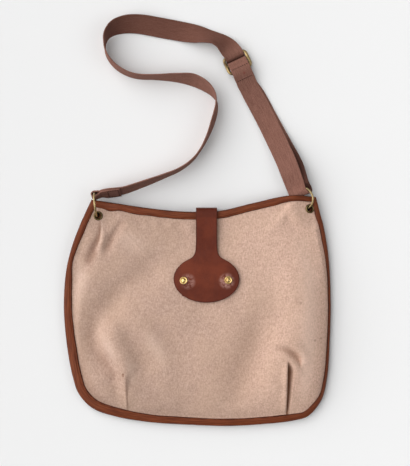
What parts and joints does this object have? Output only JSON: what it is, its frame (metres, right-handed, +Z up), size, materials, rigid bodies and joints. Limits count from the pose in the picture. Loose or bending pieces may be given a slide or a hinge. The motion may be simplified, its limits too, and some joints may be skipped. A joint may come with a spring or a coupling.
{
  "type": "canvas satchel",
  "caption": "Hobo-shaped canvas satchel with leather edge bindings, a keyhole-shaped leather closure tab and a webbing shoulder strap on brass rings, lying on its back",
  "frame": {"origin": "on the flat of the back panel, which the satchel lies on, level with the middle of the bag", "axes": "+Y runs from the bag's rounded bottom to its mouth and strap, +X to the right seen from the front, +Z up out of the front panel"},
  "size_m": [0.3378, 0.5208, 0.0354],
  "materials": {
    "canvas": "heathered pinkish beige cotton canvas, matt, slightly creased and stained",
    "binding_leather": "orange-brown leather strip with fine grain, sewn along its inner edge",
    "tab_leather": "smooth reddish brown leather, worn paler round the studs",
    "webbing": "ribbed mauve-brown cotton webbing",
    "brass": "polished brass, dulled"
  },
  "bodies": {
    "root": {"front_panel": "canvas", "back_panel": "canvas", "seam_binding": "binding_leather", "front_mouth_binding": "binding_leather", "back_mouth_binding": "binding_leather", "closure_tab": "tab_leather", "tab_stud_left": "brass", "tab_stud_right": "brass", "eyelet_left": "brass", "eyelet_right": "brass", "ring_left": "brass", "ring_right": "brass", "strap": "webbing", "slider": "brass"}
  },
  "joints": []
}
